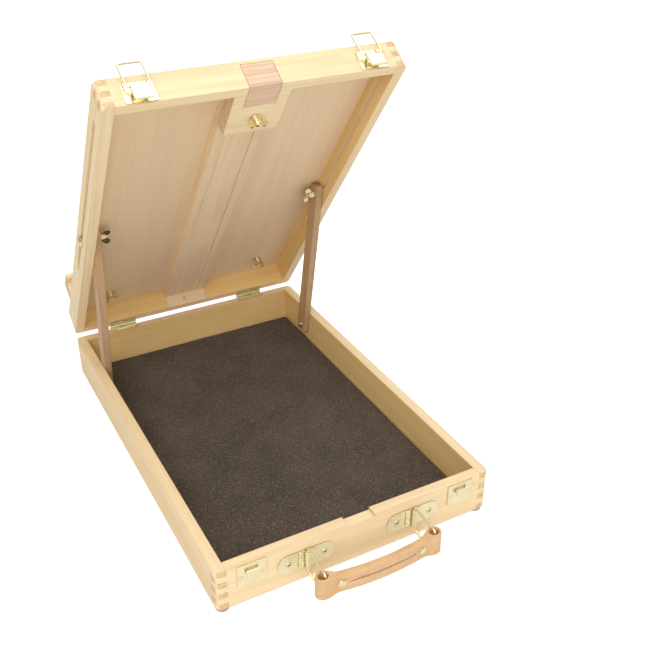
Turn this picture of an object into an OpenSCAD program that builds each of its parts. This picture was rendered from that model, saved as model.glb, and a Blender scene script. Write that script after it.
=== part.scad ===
// Table-top sketch box with an easel lid.
// The tray stands on the table, the lid is hinged at the back and is held at its
// working angle by two struts, whose bolts slide in slots along the lid's side rails.
// X runs along the hinge, Y from the latch side to the hinge side, Z up.
// The origin is on the table under the middle of the tray.

/* [Box] */
// Outer width of the box, along the hinge
box_w = 280; // [250:1:320]
// Outer depth of the box, from the latch side to the hinge side
box_d = 426; // [400:1:460]
// Thickness of the boards of the tray and of the lid
board_t = 10.5; // [9:0.5:12]
// Rounding of the upright corners
corner_r = 5.5; // [3:0.5:7]
// Height of one finger of the tray's comb joints
tray_finger_h = 6.2; // [6:0.1:7]
// Number of fingers in the height of the tray
tray_fingers = 7; // [7:2:9]
// Height of one finger of the lid's comb joints
lid_finger_h = 5.5; // [5.4:0.1:6.2]
// Number of fingers in the height of the lid
lid_fingers = 5; // [5:2:7]
// How far the panels are let into the boards
panel_rebate = 5; // [3:0.5:6]
// Thickness of the tray's bottom panel
bottom_t = 3; // [2.5:0.5:4]
// Thickness of the lid's panel
panel_t = 3; // [2.5:0.5:4]
// Thickness of the foam mat in the tray
foam_t = 3; // [2:0.5:4]
// Space left round the foam mat
foam_gap = 0.6; // [0.3:0.1:1.5]
// Width of the finger notch in the front board's top edge
notch_w = 28; // [20:1:40]
// Depth of that notch
notch_depth = 3; // [2:0.5:5]

/* [Feet] */
// Height of the feet
foot_h = 5; // [4:0.5:8]
// Radius of the feet
foot_r = 6; // [5:0.5:7]
// Distance from the box's sides to the middle of a foot
foot_inset = 9.5; // [9:0.5:14]

/* [Hinges] */
// Angle that the lid is open, from closed
lid_angle = 52.8; // [35:0.1:75]
// Distance of the hinge pin behind the back boards
pin_back = 2.8; // [2.8:0.1:3.5]
// Radius of the hinge knuckles
knuckle_r = 2.5; // [2.2:0.1:2.6]
// Radius of the hinge pins
hinge_pin_r = 1.1; // [0.9:0.1:1.3]
// Length of a hinge, along the box
hinge_l = 32; // [28:1:40]
// Distance from the box's side to the middle of a hinge
hinge_in = 57.5; // [45:0.5:70]
// Thickness of the hinge leaves
leaf_t = 1.1; // [0.8:0.1:1.3]
// Width of a hinge leaf on the rim
leaf_w = 8.5; // [8:0.5:9]

/* [Struts] */
// Length of a strut between its bolt and its foot pivot
strut_l = 191; // [180:1:200]
// Width of a strut
strut_w = 15; // [13:0.5:16]
// Thickness of a strut
strut_t = 8; // [6:0.5:9]
// Length of a strut above its bolt
strut_top = 12; // [11:0.5:12.5]
// Length of a strut below its foot pivot
strut_foot = 8; // [7:0.5:9]
// Distance from the back of the box to the foot pivots
pivot_back = 69; // [62:0.5:76]
// Height of the foot pivots above the tray's lower edge
pivot_up = 25; // [22:0.5:28]
// Distance from the hinge side to the lower end of the slots
slot_start = 139; // [130:1:142]
// Distance from the latch side to the upper end of the slots
slot_end_in = 34; // [31:1:60]
// Width of the slots in the lid's side rails
slot_w = 6; // [5.6:0.1:6.4]
// Radius of the bolts that slide in the slots
bolt_r = 2.5; // [2:0.1:2.7]
// Radius of the bolts' round heads
bolt_head_r = 5.8; // [5:0.1:7]

/* [Wing nuts] */
// Radius swept by the wings
wing_r = 9.2; // [8:0.1:9.4]
// Height of the hub of a wing nut
nut_h = 6; // [5:0.5:7]
// Thickness of the wings
wing_t = 1.8; // [1.4:0.1:2.4]

/* [Mast] */
// Width of the mast
mast_w = 30; // [26:1:34]
// Thickness of the mast
mast_t = 10; // [8:0.5:10]
// Width of the guide strips beside the mast
guide_w = 9.7; // [8:0.1:12]
// Sliding clearance round the mast
mast_gap = 0.3; // [0.2:0.1:0.5]
// Length of the mast's head block along the lid
head_l = 26; // [22:1:32]
// Length of the bridge over the mast, along the lid
bridge_l = 53.5; // [48:0.5:60]
// Distance from the latch side to the mast's clamp bolt
clamp_back = 43; // [40:0.5:45]

/* [Canvas ledge] */
// Distance from the hinge side to the ledge's lower face
ledge_start = 31; // [26:1:36]
// Height of the ledge's strip along the lid
ledge_h = 17; // [15:1:22]
// How far the ledge stands out from the lid's panel
ledge_out = 24; // [18:1:28]
// Thickness of the ledge's front lip
ledge_lip_t = 7; // [5:0.5:9]
// Height of the lip above the strip
ledge_lip_h = 10; // [6:1:14]
// Rounding of the lip and of the strip's front corner
ledge_r = 3; // [1.5:0.5:4]
// Depth of the seats of the bolt heads
ledge_seat = 12; // [8:1:14]
// Distance from the box's side to a ledge bolt
ledge_bolt_in = 45; // [35:1:60]

/* [Latches] */
// Distance from the box's side to the middle of a latch
latch_in = 33; // [30:0.5:38]
// Width of a latch plate and of a strike plate
latch_w = 27; // [26:0.5:30]
// Height of a latch plate
latch_h = 19.5; // [18:0.5:21]
// Height of a strike plate
strike_h = 24; // [22:0.5:28]
// Width of the strike plate's hook
hook_w = 11; // [8:0.5:13]
// Length of the strike plate's hook
hook_l = 6; // [4:0.5:8]
// Thickness of the latch and strike plates
plate_t = 1; // [0.8:0.1:1.3]
// Height of the lever's pin above the latch plate
lever_rise = 4.7; // [4.6:0.1:6]
// Distance from the lever's pin to the loop's pivot
lever_arm = 2.6; // [2.6:0.1:2.8]
// Length of the lever below its pin
lever_l = 10.6; // [8:0.2:13]
// Width of the lever of a latch
lever_w = 14.6; // [13:0.1:15]
// Radius of the lever's pin
lever_pin_r = 0.8; // [0.6:0.05:0.8]
// Length of the wire loop of a latch
loop_l = 24.5; // [22:0.5:26]
// Width of the wire loop between the middles of its sides
loop_w = 20.4; // [20:0.1:22]
// Radius of the wire of the latch loops
loop_wire_r = 1; // [0.8:0.05:1.05]
// Lean of the loops towards the lid
loop_lean = 5; // [0:1:12]

/* [Handle] */
// Distance from the box's side to the middle of a handle plate
handle_in = 85; // [83:0.5:88]
// Length of an oval handle plate
oval_l = 56; // [50:1:58]
// Height of an oval handle plate
oval_h = 20; // [17:0.5:21]
// Thickness of the handle plates
oval_t = 1.2; // [1:0.1:1.6]
// Width of the raised middle of a handle plate
raised_w = 17; // [14:0.5:20]
// Distance from a handle plate's end to its screw
oval_screw_in = 10.5; // [9:0.5:12]
// Length of the handle's wire rings, from pivot to grip
ring_l = 35; // [31:1:38]
// Height of the handle's wire rings between the middles of their wires
ring_h = 26; // [26:0.5:28]
// Radius of the wire of the rings
ring_wire_r = 1.2; // [1:0.1:1.3]
// Sideways lean of the rings
handle_lean = 3; // [0:1:10]
// Height of the leather grip between its folded ends
grip_h = 19.5; // [17:0.5:20]
// Thickness of the leather grip
grip_t = 7; // [6:0.5:8]
// How far the grip's middle bows away from the box
grip_bow = 6; // [3:0.5:8]
// Height of the grip's folded ends
fold_h = 22.5; // [20:0.5:22.5]
// Thickness of the grip's ends, where the leather is folded round the rings
fold_t = 12.7; // [12.2:0.1:13.6]
// Thickness of the folded leather
leather_t = 2.2; // [1.8:0.1:2.4]
// Length of the folds beyond the rings
fold_out = 7.7; // [7.2:0.1:8]
// Length over which a fold narrows to the grip
fold_taper = 11; // [9:0.5:12]
// Distance from a ring to the rivet of its fold
rivet_in = 15; // [14:0.5:20]
// Radius of the rivets
rivet_r = 1.6; // [1.2:0.1:2]
// Radius of the rivets' heads
rivet_head_r = 4; // [3:0.1:4.2]

/* [Screws] */
// Radius of the heads of the strike plates' screws
strike_screw_r = 1.9; // [1.6:0.1:2]
// Length of the strike plates' screws
strike_screw_l = 7; // [6:0.5:9]
// Radius of the heads of the handle plates' screws
handle_screw_r = 2.9; // [2.4:0.1:3.2]
// Length of the handle plates' screws
handle_screw_l = 9; // [7:0.5:9.5]
// Radius of the heads of the hinges' screws
hinge_screw_r = 2; // [1.7:0.1:2.1]
// Length of the hinges' screws
hinge_screw_l = 7; // [6:0.5:9]
// Radius of the heads of the latch plates' screws
latch_screw_r = 1.8; // [1.5:0.1:1.9]
// Length of the latch plates' screws
latch_screw_l = 7; // [6:0.5:9]
// Radius of the pins of the struts' foot screws
foot_screw_r = 2; // [1.6:0.1:2.2]

/* [Hidden] */
$fn = 48;

// Clearances
fit = 0.06;    // round running fits, on the radius
touch = 0.3;   // between pieces that move past each other
slack = 0.1;   // pieces set in a notch or a slot
eps = 0.01;    // overshoot of cuts

// Tray
tray_h = tray_finger_h * tray_fingers;
tray_top = foot_h + tray_h;
inner_w = box_w - 2 * board_t;
inner_d = box_d - 2 * board_t;
foam_top = foot_h + bottom_t + foam_t;

// Middles of the paired fittings, from the middle of the box
hinge_x = box_w / 2 - hinge_in;
latch_x = box_w / 2 - latch_in;
ledge_bolt_x = box_w / 2 - ledge_bolt_in;
handle_x = box_w / 2 - handle_in;

// Lid, in its closed place, with the two hinge leaves between the rims
rim_gap = 2 * leaf_t + 2 * slack;
lid_h = lid_finger_h * lid_fingers;
lid_z = tray_top + rim_gap;
lid_top = lid_z + lid_h;
panel_z = lid_top - panel_t;
pin_y = box_d / 2 + pin_back;
pin_z = tray_top + rim_gap / 2;

// Hinge pieces
knuckle_l = hinge_l / 3;

// Slots and struts, worked out from the lid's angle
slot_z = lid_z + lid_h / 2;
strut_x = inner_w / 2 - touch - strut_t;
foot_y = box_d / 2 - pivot_back;
foot_z = foot_h + pivot_up;
lid_along = [-cos(lid_angle), sin(lid_angle)];
lid_across = [sin(lid_angle), cos(lid_angle)];
slot_base = [pin_y, pin_z] + pin_back * lid_along + (slot_z - pin_z) * lid_across - [foot_y, foot_z];
slot_dot = slot_base * lid_along;
bolt_s = -slot_dot + sqrt(slot_dot * slot_dot - slot_base * slot_base + strut_l * strut_l);
bolt_yz = [foot_y, foot_z] + slot_base + bolt_s * lid_along;
strut_angle = atan2(bolt_yz[1] - foot_z, bolt_yz[0] - foot_y);

// Mast, in the closed lid
guide_top = panel_z - mast_t - mast_gap;
channel_w = mast_w + 2 * mast_gap;
bridge_w = channel_w + 2 * guide_w + 3;
rail_in_y = box_d / 2 - board_t;
head_y = -box_d / 2 + head_l;
mast_end_y = rail_in_y - mast_gap;
clamp_y = -box_d / 2 + clamp_back;

// Ledge, on the closed lid
ledge_y = box_d / 2 - ledge_start;
ledge_l = box_w - 3;
ledge_bolt_y = ledge_y - ledge_h / 2;

// Latches, on the closed lid
latch_face_y = -box_d / 2;
latch_z = lid_z + 0.8;
lever_pin_y = latch_face_y - plate_t - lever_rise;
lever_pin_z = latch_z + latch_h / 2;
loop_pin_z = lever_pin_z + lever_arm;
flange_t = 1;
boss_w = 0.7;
ear_x = lever_w / 2 - flange_t - touch;
strike_top = tray_top - 1.2;
// Where the loop's far wire lies in the strike's hook, with the box closed
seat_y = latch_face_y - plate_t - loop_wire_r - 0.2;
seat_z = loop_pin_z - sqrt(pow(loop_l, 2) - pow(seat_y - lever_pin_y, 2));
hook_z = seat_z + loop_wire_r + slack;

// Handle
handle_z = foot_h + 23.5;
ring_y = -box_d / 2 - oval_t - ring_wire_r - 0.9;
ring_barrel_r = ring_wire_r + 1.1;
grip_shift = [-sin(handle_lean) * ring_l, -cos(handle_lean) * ring_l];

// Grip, about the middle between the rings' outer wires
fold_r = fold_t / 2;
fold_x = handle_x + fold_out - fold_r;
fold_hole_r = fold_r - leather_t;
// The wires rest against the outer walls of the folds' openings
wire_seat = fold_hole_r - ring_wire_r - fit;
fold_y = sqrt(pow(wire_seat, 2) - pow(fold_x - handle_x, 2));
grip_arc_r = (pow(fold_x, 2) + pow(grip_bow, 2)) / (2 * grip_bow);
grip_arc_y = fold_y - grip_bow + grip_arc_r;
grip_arc_a = asin(fold_x / grip_arc_r);

wood = [0.93, 0.83, 0.64];
wood_pink = [0.86, 0.66, 0.50];
wood_brown = [0.62, 0.42, 0.24];
ply = [0.84, 0.66, 0.48];
brass = [0.88, 0.74, 0.36];
leather = [0.74, 0.47, 0.24];
foam = [0.20, 0.17, 0.14];
foot_brown = [0.36, 0.22, 0.15];

// Places its children, drawn on the closed lid, on the open lid
module on_lid() {
    translate([0, pin_y, pin_z])
        rotate([-lid_angle, 0, 0])
            translate([0, -pin_y, -pin_z])
                children();
}

// Draws its children on the left, and with side 1 their mirror image on the right
module side_of(side) {
    if (side < 0)
        children();
    else
        mirror([1, 0, 0]) children();
}

// Flat rounded rectangle about the origin
module rounded_rect(w, d, r) {
    square([w - 2 * r, d], center = true);
    square([w, d - 2 * r], center = true);
    for (x = [-1, 1], y = [-1, 1])
        translate([x * (w / 2 - r), y * (d / 2 - r)])
            circle(r);
}

// Flat slot with round ends along X, about the origin
module flat_slot(l, w) {
    square([l - w, w], center = true);
    for (x = [-1, 1])
        translate([x * (l - w) / 2, 0])
            circle(w / 2);
}

// Outline of the whole box, which rounds the upright corners
module box_outline(z, h) {
    translate([0, 0, z])
        linear_extrude(h)
            rounded_rect(box_w, box_d, corner_r);
}

// Front or back board, with fingers in every second layer from the second
module cross_board(end, z, finger_h, fingers) {
    y = end < 0 ? -box_d / 2 : box_d / 2 - board_t;
    intersection() {
        union() {
            translate([-inner_w / 2, y, z])
                cube([inner_w, board_t, finger_h * fingers]);
            for (i = [1 : 2 : fingers - 1])
                translate([-box_w / 2, y, z + i * finger_h])
                    cube([box_w, board_t, finger_h]);
        }
        box_outline(z - 1, finger_h * fingers + 2);
    }
}

// Side board, with fingers in every second layer from the first
module side_board(z, finger_h, fingers) {
    intersection() {
        union() {
            translate([-box_w / 2, -inner_d / 2, z])
                cube([board_t, inner_d, finger_h * fingers]);
            for (i = [0 : 2 : fingers - 1])
                translate([-box_w / 2, -box_d / 2, z + i * finger_h])
                    cube([board_t, box_d, finger_h]);
        }
        box_outline(z - 1, finger_h * fingers + 2);
    }
}

// Countersunk screw pointing down, its head's flat at z = 0
module countersunk_screw(head_r, l) {
    shank_r = head_r * 0.47;
    translate([0, 0, -head_r * 0.55])
        cylinder(h = head_r * 0.55, r1 = shank_r, r2 = head_r);
    translate([0, 0, -l])
        cylinder(h = l - head_r * 0.5, r = shank_r);
}

// Hole for that screw, with a named clearance
module screw_hole(head_r, l) {
    shank_r = head_r * 0.47;
    translate([0, 0, -head_r * 0.55 - slack])
        cylinder(h = head_r * 0.55 + slack + eps, r1 = shank_r + slack, r2 = head_r + slack + eps);
    translate([0, 0, -l - slack])
        cylinder(h = l, r = shank_r + slack);
    cylinder(h = 2, r = head_r + slack + eps);
}

// Tray

module tray_panel_space(grow) {
    translate([0, 0, foot_h - grow])
        linear_extrude(bottom_t + grow)
            square([inner_w + 2 * panel_rebate, inner_d + 2 * panel_rebate], center = true);
}

module tray_front_board() {
    color(wood)
        difference() {
            cross_board(-1, foot_h, tray_finger_h, tray_fingers);
            tray_panel_space(1);
            translate([-notch_w / 2, -box_d / 2 - 1, tray_top - notch_depth])
                cube([notch_w, board_t + 2, notch_depth + 1]);
            for (side = [-1, 1]) {
                strike_screw_places(side) screw_hole(strike_screw_r, strike_screw_l);
                handle_screw_places(side) screw_hole(handle_screw_r, handle_screw_l);
            }
        }
}

module tray_back_board() {
    color(wood)
        difference() {
            cross_board(1, foot_h, tray_finger_h, tray_fingers);
            tray_panel_space(1);
            for (side = [-1, 1])
                tray_hinge_screw_places(side) screw_hole(hinge_screw_r, hinge_screw_l);
        }
}

module tray_side_board() {
    difference() {
        side_board(foot_h, tray_finger_h, tray_fingers);
        tray_panel_space(1);
        // Blind hole of the strut's foot pivot
        translate([-inner_w / 2 - 7, foot_y, foot_z])
            rotate([0, 90, 0])
                cylinder(h = 8, r = foot_screw_r + fit);
    }
}

module tray_left_board() {
    color(wood) side_of(-1) tray_side_board();
}

module tray_right_board() {
    color(wood) side_of(1) tray_side_board();
}

module tray_bottom_panel() {
    color(ply)
        tray_panel_space(0);
}

module foam_mat() {
    color(foam)
        translate([0, 0, foot_h + bottom_t + touch])
            linear_extrude(foam_t - touch)
                square([inner_w - 2 * foam_gap, inner_d - 2 * foam_gap], center = true);
}

module foot() {
    dome = foot_h * 0.3;
    rotate_extrude()
        difference() {
            union() {
                translate([0, dome])
                    square([foot_r, foot_h - dome]);
                square([foot_r - dome, foot_h]);
                translate([foot_r - dome, dome])
                    circle(dome);
            }
            translate([-2 * foot_r, -eps])
                square([2 * foot_r, foot_h + 1]);
            // Recess of the fixing nail
            translate([-eps, -eps])
                square([1.6, 1.2]);
        }
}

module feet() {
    color(foot_brown)
        for (x = [-1, 1], y = [-1, 1])
            translate([x * (box_w / 2 - foot_inset), y * (box_d / 2 - foot_inset), 0])
                foot();
}

// Strike plates on the front board

// Screw places on the front face, their local Z pointing out of it
module strike_screw_places(side) {
    for (dx = [-0.37, 0.37])
        translate([side * latch_x + dx * latch_w, -box_d / 2 - plate_t, strike_top - strike_h * 0.55])
            rotate([90, 0, 0])
                children();
}

module strike_plate(side) {
    lip_y = seat_y - loop_wire_r - 0.2;
    color(brass) {
        difference() {
            // Plate with a straight top and rounded lower corners
            translate([side * latch_x, -box_d / 2, strike_top - strike_h / 2])
                rotate([90, 0, 0])
                    linear_extrude(plate_t)
                        union() {
                            rounded_rect(latch_w, strike_h, 3);
                            translate([-latch_w / 2, 0])
                                square([latch_w, strike_h / 2]);
                        }
            // Hole that the hook's tongue was bent out of
            translate([side * latch_x - hook_w / 2 - slack, -box_d / 2 - plate_t - 1, hook_z + plate_t])
                cube([hook_w + 2 * slack, plate_t + 2, strike_top - 1.8 - hook_z - plate_t]);
            strike_screw_places(side) screw_hole(strike_screw_r, strike_screw_l);
        }
        // Tongue folded out and down, under which the wire loop is caught
        translate([side * latch_x - hook_w / 2, 0, 0])
            rotate([90, 0, 90])
                linear_extrude(hook_w) {
                    translate([lip_y, hook_z])
                        square([latch_face_y - plate_t + eps - lip_y, plate_t]);
                    translate([lip_y - plate_t, hook_z - hook_l + plate_t])
                        square([plate_t, hook_l - plate_t]);
                    intersection() {
                        translate([lip_y, hook_z])
                            circle(plate_t);
                        translate([lip_y - plate_t, hook_z])
                            square(plate_t);
                    }
                }
    }
}

module strike_plate_left() { strike_plate(-1); }
module strike_plate_right() { strike_plate(1); }

module strike_screws() {
    color(brass)
        for (side = [-1, 1])
            strike_screw_places(side) countersunk_screw(strike_screw_r, strike_screw_l);
}

// Handle plates on the front board

module handle_screw_places(side) {
    for (dx = [-1, 1])
        translate([side * handle_x + dx * (oval_l / 2 - oval_screw_in), -box_d / 2 - oval_t, handle_z])
            rotate([90, 0, 0])
                children();
}

module handle_plate(side) {
    color(brass)
        difference() {
            union() {
                translate([side * handle_x, -box_d / 2, handle_z])
                    rotate([90, 0, 0])
                        linear_extrude(oval_t)
                            flat_slot(oval_l, oval_h);
                // Raised middle that holds the ring's upright wire
                translate([side * handle_x, ring_y, handle_z - oval_h / 2 + 0.6])
                    cylinder(h = oval_h - 1.2, r = ring_barrel_r);
                translate([side * handle_x - ring_barrel_r, ring_y, handle_z - oval_h / 2 + 0.6])
                    cube([2 * ring_barrel_r, -box_d / 2 - ring_y, oval_h - 1.2]);
                translate([side * handle_x, -box_d / 2 - oval_t, handle_z])
                    rotate([90, 0, 0])
                        linear_extrude(0.6)
                            rounded_rect(raised_w, oval_h - 1.2, 3);
            }
            translate([side * handle_x, ring_y, handle_z - oval_h])
                cylinder(h = 2 * oval_h, r = ring_wire_r + fit);
            handle_screw_places(side) screw_hole(handle_screw_r, handle_screw_l);
        }
}

module handle_plate_left() { handle_plate(-1); }
module handle_plate_right() { handle_plate(1); }

module handle_plate_screws() {
    color(brass)
        for (side = [-1, 1])
            handle_screw_places(side)
                difference() {
                    union() {
                        countersunk_screw(handle_screw_r, handle_screw_l);
                        cylinder(h = 0.5, r1 = handle_screw_r, r2 = handle_screw_r - 0.7);
                    }
                    // Cross recess
                    for (a = [0, 90])
                        rotate([0, 0, a])
                            translate([0, 0, 0.2])
                                cube([3.2, 0.7, 1.4], center = true);
                }
}

// Hinges, drawn in their closed place

module hinge_screw_spots(side, y) {
    for (dx = [-0.32, 0.32])
        translate([side * hinge_x + dx * hinge_l, y, 0])
            children();
}

module tray_hinge_screw_places(side) {
    translate([0, 0, tray_top + leaf_t])
        hinge_screw_spots(side, box_d / 2 - 4.2)
            children();
}

module lid_hinge_screw_places(side) {
    translate([0, 0, lid_z - leaf_t])
        hinge_screw_spots(side, box_d / 2 - 4.2)
            mirror([0, 0, 1])
                children();
}

// Leaf, its root at the knuckle and the named knuckles of the three
module hinge_leaf(side, z, knuckles) {
    difference() {
        union() {
            translate([side * hinge_x - hinge_l / 2, box_d / 2 - leaf_w, z])
                cube([hinge_l, leaf_w, leaf_t]);
            for (k = knuckles)
                translate([side * hinge_x - hinge_l / 2 + k * knuckle_l + slack / 2, 0, 0]) {
                    translate([0, box_d / 2 - 0.5, z])
                        cube([knuckle_l - slack, pin_back + 0.5, leaf_t]);
                    translate([0, pin_y, pin_z])
                        rotate([0, 90, 0])
                            cylinder(h = knuckle_l - slack, r = knuckle_r);
                }
        }
        translate([side * hinge_x - hinge_l, pin_y, pin_z])
            rotate([0, 90, 0])
                cylinder(h = 2 * hinge_l, r = hinge_pin_r + fit);
    }
}

module tray_hinge_leaf(side) {
    color(brass)
        difference() {
            hinge_leaf(side, tray_top, [0, 2]);
            tray_hinge_screw_places(side) screw_hole(hinge_screw_r, hinge_screw_l);
            // Room for the other leaf's knuckle
            translate([side * hinge_x - knuckle_l / 2, box_d / 2 - 0.05, pin_z - 4])
                cube([knuckle_l, 8, 8]);
        }
}

module lid_hinge_leaf(side) {
    color(brass)
        on_lid()
            difference() {
                hinge_leaf(side, lid_z - leaf_t, [1]);
                lid_hinge_screw_places(side) screw_hole(hinge_screw_r, hinge_screw_l);
            }
}

module tray_hinge_leaf_left() { tray_hinge_leaf(-1); }
module tray_hinge_leaf_right() { tray_hinge_leaf(1); }
module lid_hinge_leaf_left() { lid_hinge_leaf(-1); }
module lid_hinge_leaf_right() { lid_hinge_leaf(1); }

module hinge_pins() {
    color(brass)
        for (side = [-1, 1])
            translate([side * hinge_x - hinge_l / 2, pin_y, pin_z])
                rotate([0, 90, 0])
                    cylinder(h = hinge_l, r = hinge_pin_r);
}

module tray_hinge_screws() {
    color(brass)
        for (side = [-1, 1])
            tray_hinge_screw_places(side) countersunk_screw(hinge_screw_r, hinge_screw_l);
}

module lid_hinge_screws() {
    color(brass)
        on_lid()
            for (side = [-1, 1])
                lid_hinge_screw_places(side) countersunk_screw(hinge_screw_r, hinge_screw_l);
}

// Lid, drawn closed and then opened

module lid_panel_space(grow) {
    translate([0, 0, panel_z])
        linear_extrude(panel_t + grow)
            square([inner_w + 2 * panel_rebate, inner_d + 2 * panel_rebate], center = true);
}

module lid_top_rail() {
    color(wood)
        on_lid()
            difference() {
                cross_board(-1, lid_z, lid_finger_h, lid_fingers);
                lid_panel_space(1);
                // Notch of the mast's head block, up to the panel
                translate([-channel_w / 2, -box_d / 2 - 1, lid_z - 1])
                    cube([channel_w, board_t + 2, panel_z - lid_z + 1]);
                for (side = [-1, 1])
                    latch_screw_places(side) screw_hole(latch_screw_r, latch_screw_l);
            }
}

module lid_bottom_rail() {
    color(wood)
        on_lid()
            difference() {
                cross_board(1, lid_z, lid_finger_h, lid_fingers);
                lid_panel_space(1);
                // Notch of the stop block
                translate([-bridge_w / 2 + 1.5, rail_in_y - 1, lid_z - 1])
                    cube([bridge_w - 3, board_t + 2, panel_z - lid_z + 1]);
                for (side = [-1, 1])
                    lid_hinge_screw_places(side) screw_hole(hinge_screw_r, hinge_screw_l);
            }
}

module lid_side_rail() {
    slot_l = box_d - slot_end_in - slot_start;
    difference() {
        side_board(lid_z, lid_finger_h, lid_fingers);
        lid_panel_space(1);
        // Slot of the strut's bolt
        translate([-box_w / 2 - 1, box_d / 2 - slot_start - slot_l / 2, slot_z])
            rotate([90, 0, 90])
                linear_extrude(board_t + 2)
                    flat_slot(slot_l, slot_w);
    }
}

module lid_left_rail() {
    color(wood) on_lid() side_of(-1) lid_side_rail();
}

module lid_right_rail() {
    color(wood) on_lid() side_of(1) lid_side_rail();
}

module lid_panel() {
    color(ply)
        on_lid()
            difference() {
                lid_panel_space(0);
                for (x = [-1, 1])
                    translate([x * ledge_bolt_x, ledge_bolt_y, panel_z - 1])
                        cylinder(h = panel_t + 2, r = bolt_r + fit);
            }
}

// Mast and what guides it

module mast_guide(side) {
    color(wood_pink)
        on_lid()
            translate([side < 0 ? -channel_w / 2 - guide_w : channel_w / 2, -inner_d / 2, guide_top])
                cube([guide_w, inner_d, panel_z - guide_top]);
}

module mast_guide_left() { mast_guide(-1); }
module mast_guide_right() { mast_guide(1); }

module mast_bridge() {
    color(wood)
        on_lid()
            difference() {
                translate([-bridge_w / 2, -inner_d / 2, lid_z])
                    cube([bridge_w, bridge_l, guide_top - lid_z]);
                // Notch round the mast's head block
                translate([-channel_w / 2, -inner_d / 2 - 1, lid_z - 1])
                    cube([channel_w, head_y + mast_gap + inner_d / 2 + 1, guide_top - lid_z + 2]);
                translate([0, clamp_y, lid_z - 1])
                    cylinder(h = lid_h, r = bolt_r + fit);
            }
}

module mast_stop_block() {
    color(wood_pink)
        on_lid()
            difference() {
                translate([-bridge_w / 2 + 1.5 + slack, rail_in_y, lid_z])
                    cube([bridge_w - 3 - 2 * slack, board_t, panel_z - lid_z]);
                translate([-3, rail_in_y, lid_z + 8])
                    rotate([90, 0, 0])
                        translate([0, 0, -7])
                            cylinder(h = 8, r = 0.9 + fit);
                translate([-3, rail_in_y + 0.6, lid_z + 8])
                    rotate([90, 0, 0])
                        cylinder(h = 2, r = 1.8 + fit);
            }
}

module stop_block_nail() {
    color(brass)
        on_lid()
            translate([-3, rail_in_y + 0.6, lid_z + 8])
                rotate([90, 0, 0]) {
                    cylinder(h = 0.6, r = 1.8);
                    translate([0, 0, -6])
                        cylinder(h = 6.3, r = 0.9);
                }
}

module mast_bar() {
    color(wood_pink)
        on_lid()
            translate([-mast_w / 2, -inner_d / 2, guide_top + mast_gap])
                cube([mast_w, mast_end_y + inner_d / 2, mast_t - mast_gap / 2]);
}

// Block that fills the top rail's notch, with a foot over the end of the bar
module mast_head_block() {
    color(wood_pink)
        on_lid() {
            translate([-mast_w / 2, -box_d / 2, lid_z])
                cube([mast_w, board_t, guide_top + mast_gap + mast_t - mast_gap / 2 - lid_z]);
            translate([-mast_w / 2, -box_d / 2, lid_z])
                cube([mast_w, head_l, guide_top + mast_gap - lid_z]);
        }
}

// Wings of a nut or bolt, standing on z = 0 and opening upwards
module wings(hub_r, h) {
    tip_r = 3.4;
    for (side = [-1, 1])
        translate([0, wing_t / 2, 0])
            rotate([90, 0, 0])
                linear_extrude(wing_t) {
                    translate([side * (wing_r - tip_r), h + 1.2])
                        circle(tip_r);
                    polygon([
                        [side * (hub_r - 1), 0.6],
                        [side * (hub_r + 0.4), 0.6],
                        [side * (wing_r - 0.8), h - 0.6],
                        [side * (wing_r - tip_r - 2.4), h + 3.6],
                        [side * (hub_r - 1), h - 0.6]
                    ]);
                }
}

// Wing nut on z = 0 with its bore
module wing_nut() {
    difference() {
        union() {
            cylinder(h = nut_h, r1 = 4.8, r2 = 3.7);
            wings(3.7, nut_h);
        }
        translate([0, 0, -1])
            cylinder(h = nut_h + 8, r = bolt_r + fit);
    }
}

module mast_clamp_bolt() {
    bolt_l = guide_top + mast_gap - touch - lid_z;
    color(brass)
        on_lid()
            translate([0, clamp_y, lid_z])
                mirror([0, 0, 1]) {
                    translate([0, 0, -bolt_l])
                        cylinder(h = bolt_l + 1, r = bolt_r);
                    translate([0, 0, touch])
                        cylinder(h = nut_h - touch, r1 = 4.8, r2 = 3.7);
                    translate([0, 0, nut_h])
                        rotate_extrude()
                            intersection() {
                                circle(3.7);
                                square(4);
                            }
                    wings(3.7, nut_h);
                }
}

// Canvas ledge on the outside of the lid

module canvas_ledge() {
    color(wood)
        on_lid()
            difference() {
                translate([-ledge_l / 2, ledge_y, lid_top])
                    rotate([90, 0, 90])
                        linear_extrude(ledge_l)
                            ledge_profile();
                for (x = [-1, 1])
                    translate([x * ledge_bolt_x, ledge_bolt_y, lid_top - 1]) {
                        cylinder(h = ledge_out + 2, r = bolt_r + fit);
                        translate([0, 0, ledge_out - ledge_seat + 1])
                            cylinder(h = ledge_seat + 1, r = bolt_head_r + 0.4);
                    }
            }
}

// Profile with Y towards the hinge and Z out of the panel: a strip with a round-edged lip
module ledge_profile() {
    difference() {
        union() {
            translate([-ledge_h, 0])
                square([ledge_h, ledge_out - ledge_r]);
            translate([-ledge_h - ledge_lip_h + ledge_r, ledge_out - ledge_lip_t])
                square([ledge_h + ledge_lip_h - 2 * ledge_r, ledge_lip_t]);
            translate([-ledge_h - ledge_lip_h, ledge_out - ledge_lip_t + ledge_r])
                square([ledge_lip_h, ledge_lip_t - 2 * ledge_r]);
            for (z = [ledge_out - ledge_lip_t + ledge_r, ledge_out - ledge_r])
                translate([-ledge_h - ledge_lip_h + ledge_r, z])
                    circle(ledge_r);
            translate([-ledge_r, ledge_out - ledge_r])
                circle(ledge_r);
        }
        // Shallow rebate in which the canvas stands
        translate([-ledge_h - 1, 1.5])
            square([2.5, ledge_out - ledge_lip_t - 1.5]);
    }
}

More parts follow.
